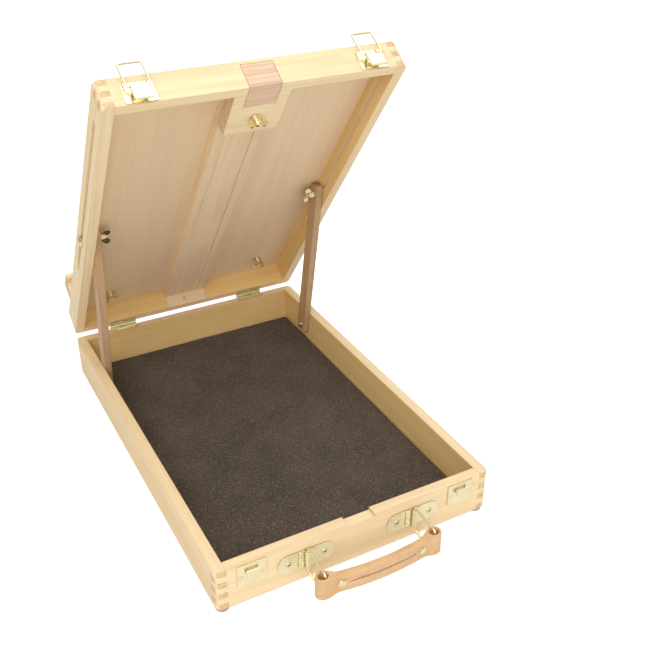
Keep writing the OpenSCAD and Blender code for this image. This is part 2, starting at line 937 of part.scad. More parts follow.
module ledge_bolts() {
    head_z = lid_top + ledge_out - ledge_seat;
    nut_z = panel_z - touch - nut_h;
    color(brass)
        on_lid()
            for (x = [-1, 1])
                translate([x * ledge_bolt_x, ledge_bolt_y, 0]) {
                    translate([0, 0, nut_z - 2])
                        cylinder(h = head_z - nut_z + 2, r = bolt_r);
                    translate([0, 0, head_z])
                        domed_head();
                }
}

// Round bolt head on z = 0
module domed_head() {
    rotate_extrude()
        intersection() {
            translate([0, 2.6 - bolt_head_r * 1.4])
                circle(bolt_head_r * 1.4, $fn = 96);
            square([bolt_head_r, 4]);
        }
}

module ledge_wing_nut(side) {
    color(brass)
        on_lid()
            translate([side * ledge_bolt_x, ledge_bolt_y, panel_z - touch])
                mirror([0, 0, 1])
                    rotate([0, 0, side * 35])
                        wing_nut();
}

module ledge_wing_nut_left() { ledge_wing_nut(-1); }
module ledge_wing_nut_right() { ledge_wing_nut(1); }

// Struts with their bolts

// Places its children at the bolt of the left strut, Z pointing into the box
module at_slot_bolt() {
    translate([-box_w / 2, bolt_yz[0], bolt_yz[1]])
        rotate([0, 90, 0])
            children();
}

module slot_bolt(side) {
    color(brass)
        side_of(side)
            at_slot_bolt() {
                // Head outside the rail
                mirror([0, 0, 1])
                    translate([0, 0, touch])
                        domed_head();
                // Square neck in the slot
                rotate([0, 0, 90 - lid_angle])
                    translate([-slot_w / 2 + slack, -slot_w / 2 + slack, -touch - eps])
                        cube([slot_w - 2 * slack, slot_w - 2 * slack, board_t + touch]);
                cylinder(h = board_t + 2 * touch + strut_t + nut_h + 2, r = bolt_r);
            }
}

module slot_bolt_left() { slot_bolt(-1); }
module slot_bolt_right() { slot_bolt(1); }

// Strut bar along its own Y, from foot pivot to bolt, on the left side
module strut_bar() {
    r = strut_w / 2;
    difference() {
        linear_extrude(strut_t)
            difference() {
                union() {
                    translate([-strut_foot + 1.5, -r])
                        square([strut_l + strut_foot - 1.5 + strut_top - r, strut_w]);
                    translate([-strut_foot, -r + 1.5])
                        square([3, strut_w - 3]);
                    for (y = [-1, 1])
                        translate([-strut_foot + 1.5, y * (r - 1.5)])
                            circle(1.5);
                    translate([strut_l + strut_top - r, 0])
                        circle(r);
                }
                translate([strut_l, 0])
                    circle(bolt_r + fit);
                circle(foot_screw_r + fit);
            }
        // Seat of the foot screw's head
        translate([0, 0, -eps])
            cylinder(h = 1, r1 = foot_screw_r + 2.2, r2 = foot_screw_r + 1.2);
    }
}

// Lays a strut's own plane in the box, seen from the inside
module in_strut_plane() {
    translate([-strut_x, foot_y, foot_z])
        rotate([0, 0, 180])
            rotate([90, 0, 90])
                rotate([0, 0, 180 - strut_angle])
                    children();
}

module strut(side) {
    color(wood_brown)
        side_of(side)
            in_strut_plane()
                strut_bar();
}

module strut_left() { strut(-1); }
module strut_right() { strut(1); }

module strut_foot_screw(side) {
    color(brass)
        side_of(side)
            in_strut_plane() {
                cylinder(h = strut_t, r = foot_screw_r);
                mirror([0, 0, 1])
                    rotate_extrude()
                        intersection() {
                            translate([0, -2.4])
                                circle(4.6);
                            square([4, 3]);
                        }
            }
}

module strut_foot_screw_left() { strut_foot_screw(-1); }
module strut_foot_screw_right() { strut_foot_screw(1); }

module strut_wing_nut(side) {
    color(brass)
        side_of(side)
            at_slot_bolt()
                translate([0, 0, board_t + 2 * touch + strut_t])
                    rotate([0, 0, 20])
                        wing_nut();
}

module strut_wing_nut_left() { strut_wing_nut(-1); }
module strut_wing_nut_right() { strut_wing_nut(1); }

// Draw latches on the lid's top rail

module latch_screw_places(side) {
    for (p = [[-latch_w / 2 + 2.5, latch_h * 0.6], [latch_w / 2 - 2.5, latch_h * 0.6], [0, 2.4]])
        translate([side * latch_x + p[0], latch_face_y - plate_t, latch_z + p[1]])
            rotate([90, 0, 0])
                children();
}

module latch_plate(side) {
    color(brass)
        on_lid()
            difference() {
                translate([side * latch_x, 0, 0]) {
                    translate([0, latch_face_y, latch_z + latch_h / 2])
                        rotate([90, 0, 0])
                            linear_extrude(plate_t)
                                rounded_rect(latch_w, latch_h, 2);
                    // Ears of the lever's pin
                    for (x = [-1, 1])
                        translate([x * (ear_x - flange_t / 2) - flange_t / 2, 0, 0])
                            rotate([90, 0, 90])
                                linear_extrude(flange_t)
                                    difference() {
                                        union() {
                                            translate([lever_pin_y, lever_pin_z])
                                                circle(lever_pin_r + boss_w);
                                            translate([lever_pin_y, lever_pin_z - lever_pin_r - boss_w])
                                                square([lever_rise + eps, 2 * (lever_pin_r + boss_w)]);
                                        }
                                        translate([lever_pin_y, lever_pin_z])
                                            circle(lever_pin_r + fit);
                                    }
                }
                latch_screw_places(side) screw_hole(latch_screw_r, latch_screw_l);
            }
}

module latch_plate_left() { latch_plate(-1); }
module latch_plate_right() { latch_plate(1); }

module latch_pins() {
    color(brass)
        on_lid()
            for (side = [-1, 1])
                translate([side * latch_x - lever_w / 2, lever_pin_y, lever_pin_z])
                    rotate([0, 90, 0])
                        cylinder(h = lever_w, r = lever_pin_r);
}

module latch_screws() {
    color(brass)
        on_lid()
            for (side = [-1, 1])
                latch_screw_places(side) countersunk_screw(latch_screw_r, latch_screw_l);
}

// Lever: a bent sheet with a thumb lip and two flanges that carry the pin and the loop
module latch_lever(side) {
    sheet_y = lever_pin_y - lever_pin_r - boss_w - touch;
    color(brass)
        on_lid()
            translate([side * latch_x - lever_w / 2, 0, 0])
                rotate([90, 0, 90])
                    difference() {
                        union() {
                            linear_extrude(lever_w) {
                                translate([sheet_y - flange_t, lever_pin_z - lever_l])
                                    square([flange_t, lever_l]);
                                // Thumb lip
                                translate([sheet_y - flange_t, lever_pin_z - lever_l])
                                    polygon([[0, 0], [flange_t, 0], [-0.6, -2.6], [-1.5, -2.1]]);
                            }
                            for (x = [0, lever_w - flange_t])
                                translate([0, 0, x])
                                    linear_extrude(flange_t) {
                                        translate([sheet_y - eps, lever_pin_z - lever_l + 3])
                                            square([1.8, lever_l - 3]);
                                        translate([sheet_y - eps, lever_pin_z - 3])
                                            square([lever_pin_y - sheet_y + lever_pin_r + boss_w, 3]);
                                        translate([lever_pin_y, lever_pin_z])
                                            circle(lever_pin_r + boss_w);
                                        translate([sheet_y - eps, lever_pin_z])
                                            square([lever_pin_y - sheet_y + loop_wire_r + boss_w, lever_arm]);
                                        translate([lever_pin_y, loop_pin_z])
                                            circle(loop_wire_r + boss_w);
                                    }
                        }
                        translate([lever_pin_y, loop_pin_z, -1])
                            cylinder(h = lever_w + 2, r = loop_wire_r + fit);
                        translate([lever_pin_y, lever_pin_z, -1])
                            cylinder(h = lever_w + 2, r = lever_pin_r + fit);
                    }
}

module latch_lever_left() { latch_lever(-1); }
module latch_lever_right() { latch_lever(1); }

// Rectangular wire frame in the XY plane, w by l between the wires' middles, from y = 0
module wire_frame(w, l, r, bend) {
    for (y = [0, l])
        translate([-w / 2 + bend, y, 0])
            rotate([0, 90, 0])
                cylinder(h = w - 2 * bend, r = r);
    for (x = [-w / 2, w / 2])
        translate([x, bend, 0])
            rotate([-90, 0, 0])
                cylinder(h = l - 2 * bend, r = r);
    for (x = [0, 1], y = [0, 1])
        translate([(x - 0.5) * (w - 2 * bend), bend + y * (l - 2 * bend), 0])
            rotate([0, 0, 90 * (x == 1 ? (y == 1 ? 0 : 3) : (y == 1 ? 1 : 2))])
                rotate_extrude(angle = 90)
                    translate([bend, 0])
                        circle(r, $fn = 24);
}

// Quarter bend of a wire about the origin, from the +X arm to the +Y arm
module wire_bend(bend, r) {
    rotate_extrude(angle = 90)
        translate([bend, 0])
            circle(r, $fn = 24);
}

// Open wire loop: two sides with inward stubs in the lever's flanges, and the far wire
module latch_loop(side) {
    bend = 1.9;
    half = loop_w / 2;
    r = loop_wire_r;
    stub_in = ear_x + touch;
    color(brass)
        on_lid()
            translate([side * latch_x, lever_pin_y, loop_pin_z])
                rotate([90 - loop_lean, 0, 0]) {
                    for (x = [0, 1])
                        mirror([x, 0, 0]) {
                            translate([stub_in, 0, 0])
                                rotate([0, 90, 0])
                                    cylinder(h = half - bend - stub_in, r = r);
                            translate([half - bend, bend, 0])
                                rotate([0, 0, -90])
                                    wire_bend(bend, r);
                            translate([half, bend, 0])
                                rotate([-90, 0, 0])
                                    cylinder(h = loop_l - 2 * bend, r = r);
                            translate([half - bend, loop_l - bend, 0])
                                wire_bend(bend, r);
                        }
                    translate([-half + bend, loop_l, 0])
                        rotate([0, 90, 0])
                            cylinder(h = loop_w - 2 * bend, r = r);
                }
}

module latch_loop_left() { latch_loop(-1); }
module latch_loop_right() { latch_loop(1); }

// Carrying handle

module handle_ring(side) {
    color(brass)
        translate([side * handle_x, ring_y, handle_z])
            rotate([0, 0, -handle_lean])
                rotate([0, 90, 180])
                    wire_frame(ring_h, ring_l, ring_wire_r, 2.4);
}

module handle_ring_left() { handle_ring(-1); }
module handle_ring_right() { handle_ring(1); }

// Left end of the grip in plan: the fold and the taper behind it
module fold_plan() {
    taper_a = grip_arc_a - asin(fold_taper / 2 / grip_arc_r);
    translate([-fold_x, fold_y])
        rotate(-taper_a)
            polygon([[0, -fold_r], [fold_taper, -grip_t / 2], [fold_taper, grip_t / 2], [0, fold_r]]);
}

// Sweeps its children, drawn about the middle of the grip's section, along the grip's arc
module along_grip(half_a) {
    translate([0, grip_arc_y, 0])
        rotate([0, 0, -90 - half_a])
            rotate_extrude(angle = 2 * half_a, $fn = 360)
                translate([grip_arc_r, 0])
                    children();
}

// Grip: an arched strap whose leather is folded back on itself round the outer wire of each ring
module handle_grip() {
    groove_x = handle_x - rivet_in - rivet_head_r - 2;
    color(leather)
        translate([grip_shift[0], ring_y + grip_shift[1], handle_z])
            difference() {
                union() {
                    along_grip(grip_arc_a)
                        rounded_rect(grip_t, grip_h, 2);
                    for (side = [-1, 1])
                        side_of(side) {
                            translate([-fold_x, fold_y, -fold_h / 2])
                                cylinder(h = fold_h, r = fold_r);
                            translate([0, 0, -grip_h / 2])
                                linear_extrude(grip_h)
                                    fold_plan();
                        }
                }
                for (side = [-1, 1]) {
                    // Opening of the fold, in which the wire lies loose
                    translate([side * fold_x, fold_y, -fold_h])
                        cylinder(h = 2 * fold_h, r = fold_hole_r);
                    rivet_place(side)
                        translate([0, 0, -2 * grip_t])
                            cylinder(h = 4 * grip_t, r = rivet_r + fit);
                }
                // Stitched groove along the middle of both faces
                along_grip(asin(groove_x / grip_arc_r))
                    for (face = [-1, 1])
                        translate([face * grip_t / 2, 0])
                            square([1, 0.9], center = true);
            }
}

// Places its children in the middle of the grip at a rivet, Z pointing away from the box
module rivet_place(side) {
    translate([0, grip_arc_y, 0])
        rotate([0, 0, side * asin((handle_x - rivet_in) / grip_arc_r)])
            translate([0, -grip_arc_r, 0])
                rotate([90, 0, 0])
                    children();
}

module handle_rivets() {
    head_z = grip_t / 2 + touch;
    color(brass)
        translate([grip_shift[0], ring_y + grip_shift[1], handle_z])
            for (side = [-1, 1])
                rivet_place(side) {
                    translate([0, 0, -head_z - eps])
                        cylinder(h = 2 * (head_z + eps), r = rivet_r);
                    for (face = [0, 1])
                        mirror([0, 0, face])
                            translate([0, 0, head_z])
                                rotate_extrude()
                                    intersection() {
                                        translate([0, 1.2 - 7.5])
                                            circle(7.5, $fn = 96);
                                        square([rivet_head_r, 2]);
                                    }
                }
}

tray_front_board();
tray_back_board();
tray_left_board();
tray_right_board();
tray_bottom_panel();
foam_mat();
feet();
strike_plate_left();
strike_plate_right();
strike_screws();
handle_plate_left();
handle_plate_right();
handle_plate_screws();
tray_hinge_leaf_left();
tray_hinge_leaf_right();
hinge_pins();
tray_hinge_screws();
lid_top_rail();
lid_bottom_rail();
lid_left_rail();
lid_right_rail();
lid_panel();
mast_guide_left();
mast_guide_right();
mast_bridge();
mast_stop_block();
stop_block_nail();
canvas_ledge();
ledge_bolts();
lid_hinge_leaf_left();
lid_hinge_leaf_right();
lid_hinge_screws();
latch_plate_left();
latch_plate_right();
latch_pins();
latch_screws();
mast_bar();
mast_head_block();
mast_clamp_bolt();
ledge_wing_nut_left();
ledge_wing_nut_right();
slot_bolt_left();
slot_bolt_right();
strut_left();
strut_right();
strut_foot_screw_left();
strut_foot_screw_right();
strut_wing_nut_left();
strut_wing_nut_right();
latch_lever_left();
latch_lever_right();
latch_loop_left();
latch_loop_right();
handle_ring_left();
handle_ring_right();
handle_grip();
handle_rivets();
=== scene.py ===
# Dresses the pochade box: woods, brass, leather, foam, rubber and the studio. Lengths in metres.

import math

import bmesh
import bpy
from mathutils import Matrix, Vector, noise


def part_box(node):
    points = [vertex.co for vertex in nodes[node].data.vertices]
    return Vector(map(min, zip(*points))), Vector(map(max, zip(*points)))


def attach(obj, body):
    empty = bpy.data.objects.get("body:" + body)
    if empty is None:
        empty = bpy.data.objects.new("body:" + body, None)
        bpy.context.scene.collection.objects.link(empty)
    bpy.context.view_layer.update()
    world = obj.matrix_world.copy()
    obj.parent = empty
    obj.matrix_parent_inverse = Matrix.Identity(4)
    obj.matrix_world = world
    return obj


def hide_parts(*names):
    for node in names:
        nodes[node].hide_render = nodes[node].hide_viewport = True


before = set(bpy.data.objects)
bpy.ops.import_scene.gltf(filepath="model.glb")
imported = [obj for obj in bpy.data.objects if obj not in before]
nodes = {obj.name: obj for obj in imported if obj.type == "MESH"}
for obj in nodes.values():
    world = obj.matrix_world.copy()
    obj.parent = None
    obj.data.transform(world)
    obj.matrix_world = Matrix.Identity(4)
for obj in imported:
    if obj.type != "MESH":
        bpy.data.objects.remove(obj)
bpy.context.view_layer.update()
scene = bpy.context.scene

# The lid stands open at rest: its angle from closed and its hinge pin
LID_ANGLE = math.radians(52.8)
PIN = Vector((0.0, 0.2158, 0.0496))

# Half width and half depth between the boards' inner faces
BOARD_T = 0.0105
LEFT_LOW, LEFT_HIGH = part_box("tray_left_board")
INNER_X = -LEFT_LOW.x - BOARD_T
INNER_Y = LEFT_HIGH.y - BOARD_T
# Margin and blur of the mask of inner faces that get painted shade
INNER_MARGIN = 0.0005
INNER_BLUR = 0.0003

# Radius over which edges look rounded
WOOD_EDGE = 0.0007
WOOD_RUB = 0.0014
BRASS_EDGE = 0.0003
LEATHER_EDGE = 0.0012
RUBBER_EDGE = 0.0004
BEVEL_SAMPLES = 6

# Linear colours
PALE = (0.91, 0.74, 0.47)
MID = (0.88, 0.68, 0.40)
DARK = (0.74, 0.49, 0.24)
END = (0.76, 0.54, 0.30)
# Painted shade: the back board's middle colour is darker, for the shade of the open lid
BACK_SHADED_MID = (0.80, 0.61, 0.38)
BRIDGE_MID = (0.86, 0.70, 0.46)
ROSY = ((0.86, 0.66, 0.43), (0.82, 0.61, 0.39), (0.68, 0.46, 0.26))
HEAD = ((0.86, 0.63, 0.45), (0.80, 0.56, 0.39), (0.46, 0.27, 0.17))
PANEL = ((0.86, 0.67, 0.44), (0.82, 0.62, 0.40), (0.66, 0.45, 0.27))
PANEL_END = (0.52, 0.36, 0.22)
BOTTOM = ((0.80, 0.62, 0.42), (0.74, 0.55, 0.36), (0.55, 0.37, 0.22))
BOTTOM_END = (0.50, 0.34, 0.20)
STRUT = ((0.58, 0.37, 0.21), (0.49, 0.30, 0.16), (0.30, 0.16, 0.08))
STRUT_END = (0.34, 0.20, 0.11)
# Painted shade: tint of the boards' inner faces
INNER_SHADE_TINT = (0.90, 0.80, 0.56)
TARNISH_TINT = (0.86, 0.80, 0.62)
SPECK = (0.35, 0.25, 0.10)
# Painted shade in the brass's recesses
RECESS_SHADE = (0.20, 0.16, 0.06)


# ---------------------------------------------------------------- materials

class Nodes:
    """A small helper that adds and links shader nodes."""

    def __init__(self, name):
        self.mat = bpy.data.materials.new(name)
        self.mat.use_nodes = True
        self.tree = self.mat.node_tree
        self.bsdf = self.tree.nodes["Principled BSDF"]

    def add(self, kind, **settings):
        node = self.tree.nodes.new("ShaderNode" + kind)
        for key, value in settings.items():
            setattr(node, key, value)
        return node

    def put(self, socket, value):
        if isinstance(value, bpy.types.NodeSocket):
            self.tree.links.new(value, socket)
        else:
            socket.default_value = value

    def math(self, operation, a, b=0.0, clamp=False):
        node = self.add("Math", operation=operation, use_clamp=clamp)
        self.put(node.inputs[0], a)
        self.put(node.inputs[1], b)
        return node.outputs[0]

    def mix(self, factor, a, b, blend="MIX"):
        node = self.add("Mix", data_type="RGBA", blend_type=blend)
        self.put(node.inputs["Factor"], factor)
        for key, value in ((6, a), (7, b)):
            if isinstance(value, tuple):
                value = (*value, 1.0)
            self.put(node.inputs[key], value)
        return node.outputs[2]

    def noise(self, vector, scale, detail=3.0, rough=0.5, distort=0.0):
        node = self.add("TexNoise")
        self.put(node.inputs["Vector"], vector)
        node.inputs["Scale"].default_value = scale
        node.inputs["Detail"].default_value = detail
        node.inputs["Roughness"].default_value = rough
        node.inputs["Distortion"].default_value = distort
        return node.outputs["Fac"]

    def ramp(self, value, low, high, out_low=0.0, out_high=1.0):
        node = self.add("MapRange", clamp=True, interpolation_type="SMOOTHSTEP")
        for key, item in enumerate((value, low, high, out_low, out_high)):
            self.put(node.inputs[key], item)
        return node.outputs[0]

    def mapping(self, vector, rotation=(0, 0, 0), scale=(1, 1, 1), location=(0, 0, 0)):
        node = self.add("Mapping")
        self.put(node.inputs["Vector"], vector)
        node.inputs["Rotation"].default_value = rotation
        node.inputs["Scale"].default_value = scale
        node.inputs["Location"].default_value = location
        return node.outputs[0]

    def object_coords(self):
        node = self.add("TexCoord")
        return node.outputs["Object"], node.outputs["Normal"]

    def bump(self, height, strength, distance, edge=0.0):
        node = self.add("Bump")
        node.inputs["Strength"].default_value = strength
        node.inputs["Distance"].default_value = distance
        self.put(node.inputs["Height"], height)
        if edge:
            bevel = self.add("Bevel", samples=BEVEL_SAMPLES)
            bevel.inputs["Radius"].default_value = edge
            self.put(node.inputs["Normal"], bevel.outputs[0])
        self.put(self.bsdf.inputs["Normal"], node.outputs[0])


    def arris(self, radius):
        """1 on flat stretches, less near a sharp edge."""
        bevel = self.add("Bevel", samples=BEVEL_SAMPLES)
        bevel.inputs["Radius"].default_value = radius
        geometry = self.add("NewGeometry")
        dot = self.add("VectorMath", operation="DOT_PRODUCT")
        self.put(dot.inputs[0], bevel.outputs[0])
        self.put(dot.inputs[1], geometry.outputs["True Normal"])
        return dot.outputs["Value"]


def drawn_out(axis, across, along):
    """Scale of a texture that is drawn out along one axis."""
    scale = [across] * 3
    scale[axis] = along
    return tuple(scale)


def darker(colour, factor):
    return tuple(c * factor for c in colour)


def wood(name, axis, pale, mid, dark, seed, end=END, ring=1.0, streak=1.0, tilt=0.0, rough=0.5,
         fleck=0.5, shade_inside=False):
    """Bare sanded wood. axis is the grain's direction (0, 1 or 2) once tilt about X is undone."""
    n = Nodes(name)
    coords, normal = n.object_coords()
    turn = (tilt, 0.0, 0.0)
    # Places on the lid are those of the closed lid
    back = PIN - Matrix.Rotation(tilt, 3, "X") @ PIN
    flat = n.mapping(coords, rotation=turn, location=tuple(back))
    facing = n.mapping(normal, rotation=turn)
    shift = (seed * 0.37, seed * 0.71, seed * 0.53)

    # Growth rings: noise bands stretched along the grain
    grain = n.mapping(flat, scale=drawn_out(axis, 26.0, 1.0), location=shift)
    broad = n.noise(grain, 1.3 * ring, 2.0, 0.5, 0.4)
    bands = n.math("FRACT", n.math("MULTIPLY", broad, 7.0))
    late = n.ramp(bands, 0.45, 0.95)
    late = n.math("SUBTRACT", late, n.ramp(bands, 0.95, 1.0), True)
    tone = n.noise(grain, 0.45, 2.0, 0.5)
    colour = n.mix(n.ramp(tone, 0.35, 0.68), pale, mid)
    colour = n.mix(n.math("MULTIPLY", late, 0.26 * streak), colour, dark)

    # Fibres and the short flecks of beech
    fibre_map = n.mapping(flat, scale=drawn_out(axis, 900.0, 14.0), location=shift)
    fibre = n.noise(fibre_map, 1.0, 3.0, 0.6)
    fleck_map = n.mapping(flat, scale=drawn_out(axis, 1300.0, 170.0), location=shift)
    flecks = n.ramp(n.noise(fleck_map, 1.0, 1.0), 0.66, 0.76)
    fibre_share = n.math("MULTIPLY", n.ramp(fibre, 0.35, 0.75), 0.30 * streak)
    colour = n.mix(fibre_share, colour, dark)
    colour = n.mix(n.math("MULTIPLY", flecks, 0.28 * fleck), colour, darker(dark, 0.7))

    # End grain where the surface faces along the grain
    split = n.add("SeparateXYZ")
    n.put(split.inputs[0], facing)
    ends = n.ramp(n.math("ABSOLUTE", split.outputs[axis]), 0.7, 0.9)
    arcs = n.noise(n.mapping(flat, scale=(260, 260, 260), location=shift), 1.0, 2.0, 0.6, 0.6)
    end_colour = n.mix(n.ramp(arcs, 0.35, 0.7), end, darker(end, 0.78))
    colour = n.mix(ends, colour, end_colour)

    if shade_inside:
        # Painted shade: the inner faces get a deeper, darker colour than the outer ones, standing
        # in for the shade inside the box
        place = n.add("SeparateXYZ")
        n.put(place.inputs[0], flat)
        beyond = []
        for side, half in ((0, INNER_X), (1, INNER_Y)):
            limit = half + INNER_MARGIN
            distance = n.math("ABSOLUTE", place.outputs[side])
            beyond.append(n.ramp(distance, limit - INNER_BLUR, limit + INNER_BLUR))
        inner = n.math("SUBTRACT", 1.0, n.math("MAXIMUM", *beyond), True)
        shaded = n.mix(1.0, colour, INNER_SHADE_TINT, "MULTIPLY")
        colour = n.mix(inner, colour, shaded)

    # Rubbed, slightly darker arrises
    rub = n.ramp(n.arris(WOOD_RUB), 0.999, 0.93)
    colour = n.mix(n.math("MULTIPLY", rub, 0.25), colour, dark)
    n.put(n.bsdf.inputs["Base Color"], colour)
    n.put(n.bsdf.inputs["Roughness"], n.ramp(fibre, 0.2, 0.8, rough + 0.08, rough - 0.07))
    n.bsdf.inputs["Specular IOR Level"].default_value = 0.35
    height = n.math("ADD", n.math("MULTIPLY", fibre, 0.6), n.math("MULTIPLY", flecks, -0.6))
    n.bump(height, 0.35, 0.00012, WOOD_EDGE)
    return n.mat


def brass(name, colour, rough, seed=1.0):
    """Polished brass with faint tarnish, specks and painted shade in its recesses."""
    n = Nodes(name)
    coords, _ = n.object_coords()
    cloud = n.noise(n.mapping(coords, location=(seed, seed * 2, 0)), 90.0, 3.0, 0.6)
    fine = n.noise(n.mapping(coords, scale=(700, 700, 700)), 1.0, 3.0, 0.7)
    dulled = tuple(c * tint for c, tint in zip(colour, TARNISH_TINT))
    tint = n.mix(n.math("MULTIPLY", n.ramp(cloud, 0.45, 0.8), 0.35), colour, dulled)
    specks = n.ramp(n.noise(coords, 520.0, 2.0, 0.5), 0.70, 0.78)
    tint = n.mix(n.math("MULTIPLY", specks, 0.25), tint, SPECK)
    # Painted shade: darker where ambient occlusion finds a recess
    hollow = n.add("AmbientOcclusion", samples=6)
    hollow.inputs["Distance"].default_value = 0.0028
    recess_shade = n.ramp(hollow.outputs["AO"], 0.92, 0.35, 0.0, 0.85)
    tint = n.mix(recess_shade, tint, RECESS_SHADE)
    n.put(n.bsdf.inputs["Base Color"], tint)
    n.bsdf.inputs["Metallic"].default_value = 1.0
    wear = n.math("ADD", n.math("MULTIPLY", cloud, 0.6), n.math("MULTIPLY", fine, 0.4))
    n.put(n.bsdf.inputs["Roughness"], n.ramp(wear, 0.3, 0.75, rough - 0.05, rough + 0.14))
    n.bump(n.math("ADD", n.math("MULTIPLY", cloud, 0.5), fine), 0.25, 0.00006, BRASS_EDGE)
    return n.mat


def leather(name, pale, mid, dark):
    """Tan leather: pores, long marks and darker edges."""
    n = Nodes(name)
    coords, _ = n.object_coords()
    cells = n.add("TexVoronoi", feature="DISTANCE_TO_EDGE")
    n.put(cells.inputs["Vector"], coords)
    cells.inputs["Scale"].default_value = 1100.0
    crease = n.ramp(cells.outputs["Distance"], 0.02, 0.16)
    cloud = n.noise(coords, 60.0, 4.0, 0.6)
    long_marks = n.noise(n.mapping(coords, scale=(60, 500, 500)), 1.0, 3.0, 0.6)
    colour = n.mix(n.ramp(cloud, 0.35, 0.7), pale, mid)
    colour = n.mix(n.math("MULTIPLY", n.ramp(long_marks, 0.5, 0.75), 0.4), colour, dark)
    colour = n.mix(n.ramp(crease, 0.0, 1.0, 0.35, 0.0), colour, dark)
    edges = n.ramp(n.arris(LEATHER_EDGE), 0.999, 0.9)
    colour = n.mix(n.math("MULTIPLY", edges, 0.5), colour, dark)
    n.put(n.bsdf.inputs["Base Color"], colour)
    n.put(n.bsdf.inputs["Roughness"], n.ramp(cloud, 0.3, 0.7, 0.36, 0.52))
    n.bsdf.inputs["Specular IOR Level"].default_value = 0.45
    n.bump(n.math("ADD", crease, n.math("MULTIPLY", cloud, 0.8)), 0.4, 0.00015)
    return n.mat


def foam(name):
    """Open-cell foam: dark, with light cell edges and black pits."""
    n = Nodes(name)
    coords, _ = n.object_coords()
    cells = n.add("TexVoronoi", feature="F1")
    n.put(cells.inputs["Vector"], coords)
    cells.inputs["Scale"].default_value = 950.0
    split = n.add("SeparateColor")
    n.put(split.inputs[0], cells.outputs["Color"])
    fine = n.noise(coords, 900.0, 2.0, 0.7)
    cloud = n.noise(coords, 22.0, 4.0, 0.6)
    base = n.mix(n.ramp(cloud, 0.3, 0.7), (0.060, 0.045, 0.034), (0.095, 0.072, 0.054))
    base = n.mix(n.ramp(fine, 0.4, 0.7, 0.0, 0.6), base, (0.022, 0.016, 0.012))
    light = n.math("MULTIPLY", n.ramp(split.outputs[0], 0.66, 0.92),
                   n.ramp(cells.outputs["Distance"], 0.55, 0.25))
    base = n.mix(n.math("MULTIPLY", light, 0.8), base, (0.33, 0.26, 0.19))
    n.put(n.bsdf.inputs["Base Color"], base)
    n.bsdf.inputs["Roughness"].default_value = 0.85
    n.bsdf.inputs["Specular IOR Level"].default_value = 0.3
    n.bsdf.inputs["Sheen Weight"].default_value = 0.1
    height = n.math("SUBTRACT", n.ramp(cells.outputs["Distance"], 0.0, 0.7),
                    n.math("MULTIPLY", fine, 0.5))
    n.bump(height, 0.8, 0.0005)
    return n.mat


def rubber(name, side, under):
    """Matt rubber, darker on the underside that meets the table."""
    n = Nodes(name)
    coords, _ = n.object_coords()
    split = n.add("SeparateXYZ")
    n.put(split.inputs[0], coords)
    low = n.ramp(split.outputs[2], 0.0026, 0.0012)
    mottle = n.noise(coords, 700.0, 3.0, 0.6)
    colour = n.mix(low, side, under)
    spots = n.math("MULTIPLY", n.ramp(mottle, 0.4, 0.7), 0.3)
    colour = n.mix(spots, colour, darker(under, 0.6))
    n.put(n.bsdf.inputs["Base Color"], colour)
    n.put(n.bsdf.inputs["Roughness"], n.ramp(mottle, 0.3, 0.7, 0.55, 0.75))
    n.bump(mottle, 0.3, 0.0001, RUBBER_EDGE)
    return n.mat


def thread(name, colour):
    """Waxed thread with a slanting twist."""
    n = Nodes(name)
    coords, _ = n.object_coords()
    twist = n.add("TexWave", wave_type="BANDS", bands_direction="DIAGONAL")
    n.put(twist.inputs["Vector"], coords)
    twist.inputs["Scale"].default_value = 1500.0
    tint = n.mix(twist.outputs["Fac"], darker(colour, 0.65), colour)
    n.put(n.bsdf.inputs["Base Color"], tint)
    n.bsdf.inputs["Roughness"].default_value = 0.7
    n.bump(twist.outputs["Fac"], 0.5, 0.0001)
    return n.mat


def give(names, material):
    for name in names:
        mesh = nodes[name].data
        mesh.materials.clear()
        mesh.materials.append(material)


# Node, material's name, grain's direction, middle colour, seed and tilt of each board
BOARDS = (
    ("tray_front_board", "beech_front", 0, MID, 1.3, 0.0),
    ("tray_back_board", "beech_back", 0, BACK_SHADED_MID, 2.1, 0.0),
    ("tray_left_board", "beech_left", 1, MID, 3.7, 0.0),
    ("tray_right_board", "beech_right", 1, MID, 4.9, 0.0),
    ("lid_top_rail", "beech_lid_top", 0, MID, 5.2, LID_ANGLE),
    ("lid_bottom_rail", "beech_lid_bottom", 0, MID, 6.6, LID_ANGLE),
    ("lid_left_rail", "beech_lid_left", 1, MID, 7.4, LID_ANGLE),
    ("lid_right_rail", "beech_lid_right", 1, MID, 8.8, LID_ANGLE),
)
for board, label, axis, mid, seed, tilt in BOARDS:
    give([board], wood(label, axis, PALE, mid, DARK, seed, tilt=tilt, shade_inside=True))
give(["mast_bridge"], wood("beech_bridge", 0, PALE, BRIDGE_MID, DARK, 9.1, tilt=LID_ANGLE))
give(["canvas_ledge"], wood("beech_ledge", 0, PALE, MID, DARK, 10.5, tilt=LID_ANGLE))
give(["mast_guide_left"], wood("rosy_guide_left", 1, *ROSY, 11.2, tilt=LID_ANGLE))
give(["mast_guide_right"], wood("rosy_guide_right", 1, *ROSY, 12.9, tilt=LID_ANGLE))
give(["mast_bar"], wood("rosy_mast", 1, *ROSY, 13.3, tilt=LID_ANGLE))
give(["mast_head_block"], wood("rosy_head", 0, *HEAD, 14.7, tilt=LID_ANGLE, streak=1.7, ring=1.6))
give(["mast_stop_block"], wood("rosy_stop", 0, *ROSY, 15.6, tilt=LID_ANGLE))
give(["lid_panel"], wood("ply_panel", 1, *PANEL, 16.4, PANEL_END, tilt=LID_ANGLE,
                         ring=0.7, streak=0.5))
give(["tray_bottom_panel"], wood("ply_bottom", 1, *BOTTOM, 17.8, BOTTOM_END,
                                 ring=0.7, streak=0.8))
give(["strut_left"], wood("strut_wood_left", 2, *STRUT, 18.2, STRUT_END, fleck=0.8, rough=0.38))
give(["strut_right"], wood("strut_wood_right", 2, *STRUT, 19.5, STRUT_END, fleck=0.8, rough=0.38))

